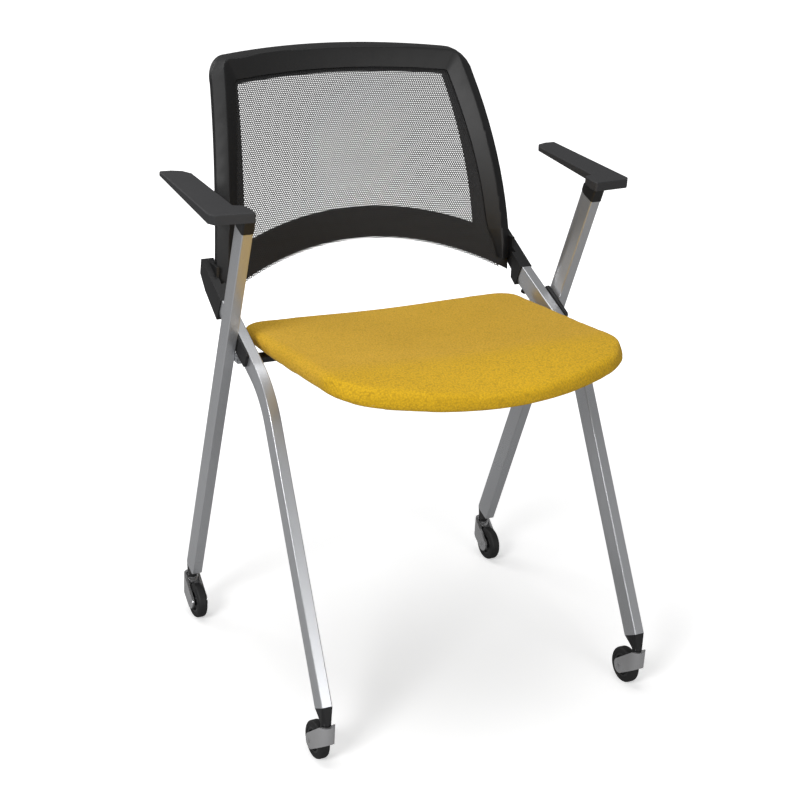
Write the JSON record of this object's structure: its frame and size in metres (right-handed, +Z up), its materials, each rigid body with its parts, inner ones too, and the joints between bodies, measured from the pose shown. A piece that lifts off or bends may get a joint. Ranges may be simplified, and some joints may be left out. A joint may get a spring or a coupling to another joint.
{
  "type": "nesting chair",
  "caption": "Nesting chair on casters with a flip-up upholstered seat, bent oval-tube legs, arm pads and an arched mesh back.",
  "frame": {"origin": "centre of the overall box at floor level, under the chair", "axes": "+Z up, the sitter faces -Y, +X to the right of a viewer standing in front"},
  "size_m": [0.614, 0.5648, 0.7964],
  "materials": {
    "silver_tube": "satin",
    "black_plastic": "satin",
    "arm_pad": "matte",
    "seat_fabric": "woven",
    "plywood": "plain",
    "back_mesh": "mesh",
    "steel": "zinc plated",
    "black_steel": "satin",
    "caster_metal": "satin",
    "hub_plastic": "satin",
    "tyre": "matte",
    "rubber": "matte",
    "white_plastic": "smooth"
  },
  "bodies": {
    "frame": {"rear_leg_left": "silver_tube", "front_leg_left": "silver_tube", "leg_spacer_left": "black_plastic", "arm_pad_left": "arm_pad", "arm_bracket_left": "black_plastic", "leg_plug_rear_left": "black_plastic", "leg_plug_front_left": "black_plastic", "back_bracket_left": "black_plastic", "rear_leg_right": "silver_tube", "front_leg_right": "silver_tube", "leg_spacer_right": "black_plastic", "arm_pad_right": "arm_pad", "arm_bracket_right": "black_plastic", "leg_plug_rear_right": "black_plastic", "leg_plug_front_right": "black_plastic", "back_bracket_right": "black_plastic", "seat_rests": "steel", "rest_bumpers": "rubber", "crossing_lugs": "silver_tube", "tie_rod": "steel", "cross_tube": "black_steel", "arm_screws": "steel", "back_frame": "black_plastic", "back_bezel": "black_plastic", "back_crossbar": "black_plastic", "back_mesh": "back_mesh", "bar_screws": "steel", "tab_screws": "steel", "bracket_screws": "steel"},
    "seat": {"seat_cushion": "seat_fabric", "seat_board": "plywood", "seat_shell": "black_plastic", "seat_screws": "steel", "hinge_screws": "steel", "hinge_bushes": "white_plastic", "seat_hinge_left": "black_plastic", "seat_hinge_right": "black_plastic", "hinge_cap_left": "black_plastic", "hinge_cap_right": "black_plastic"},
    "caster_front_left": {"caster_fork_front_left": "caster_metal", "caster_stem_front_left": "steel", "caster_axle_front_left": "steel"},
    "wheel_front_left": {"caster_hub_front_left": "hub_plastic", "caster_tyre_front_left": "tyre"},
    "caster_front_right": {"caster_fork_front_right": "caster_metal", "caster_stem_front_right": "steel", "caster_axle_front_right": "steel"},
    "wheel_front_right": {"caster_hub_front_right": "hub_plastic", "caster_tyre_front_right": "tyre"},
    "caster_rear_left": {"caster_fork_rear_left": "caster_metal", "caster_stem_rear_left": "steel", "caster_axle_rear_left": "steel"},
    "wheel_rear_left": {"caster_hub_rear_left": "hub_plastic", "caster_tyre_rear_left": "tyre"},
    "caster_rear_right": {"caster_fork_rear_right": "caster_metal", "caster_stem_rear_right": "steel", "caster_axle_rear_right": "steel"},
    "wheel_rear_right": {"caster_hub_rear_right": "hub_plastic", "caster_tyre_rear_right": "tyre"}
  },
  "joints": [
    {"name": "seat_flip", "type": "hinge", "parent": "frame", "child": "seat", "pos_m": [0, 0.00989, 0.444], "axis": [-1, 0, 0], "range_deg": [0, 78]},
    {"name": "swivel_front_left", "type": "hinge", "parent": "frame", "child": "caster_front_left", "pos_m": [-0.2355, -0.27061, 0.055], "axis": [0, 0, 1], "continuous": true},
    {"name": "roll_front_left", "type": "hinge", "parent": "caster_front_left", "child": "wheel_front_left", "pos_m": [-0.2355, -0.24911, 0.0249], "axis": [1, 0, 0], "continuous": true},
    {"name": "swivel_front_right", "type": "hinge", "parent": "frame", "child": "caster_front_right", "pos_m": [0.2355, -0.27061, 0.055], "axis": [0, 0, 1], "continuous": true},
    {"name": "roll_front_right", "type": "hinge", "parent": "caster_front_right", "child": "wheel_front_right", "pos_m": [0.2355, -0.24911, 0.0249], "axis": [1, 0, 0], "continuous": true},
    {"name": "swivel_rear_left", "type": "hinge", "parent": "frame", "child": "caster_rear_left", "pos_m": [-0.2447, 0.16439, 0.055], "axis": [0, 0, 1], "continuous": true},
    {"name": "roll_rear_left", "type": "hinge", "parent": "caster_rear_left", "child": "wheel_rear_left", "pos_m": [-0.2447, 0.14289, 0.0249], "axis": [1, 0, 0], "continuous": true},
    {"name": "swivel_rear_right", "type": "hinge", "parent": "frame", "child": "caster_rear_right", "pos_m": [0.2447, 0.16439, 0.055], "axis": [0, 0, 1], "continuous": true},
    {"name": "roll_rear_right", "type": "hinge", "parent": "caster_rear_right", "child": "wheel_rear_right", "pos_m": [0.2447, 0.14289, 0.0249], "axis": [1, 0, 0], "continuous": true}
  ]
}
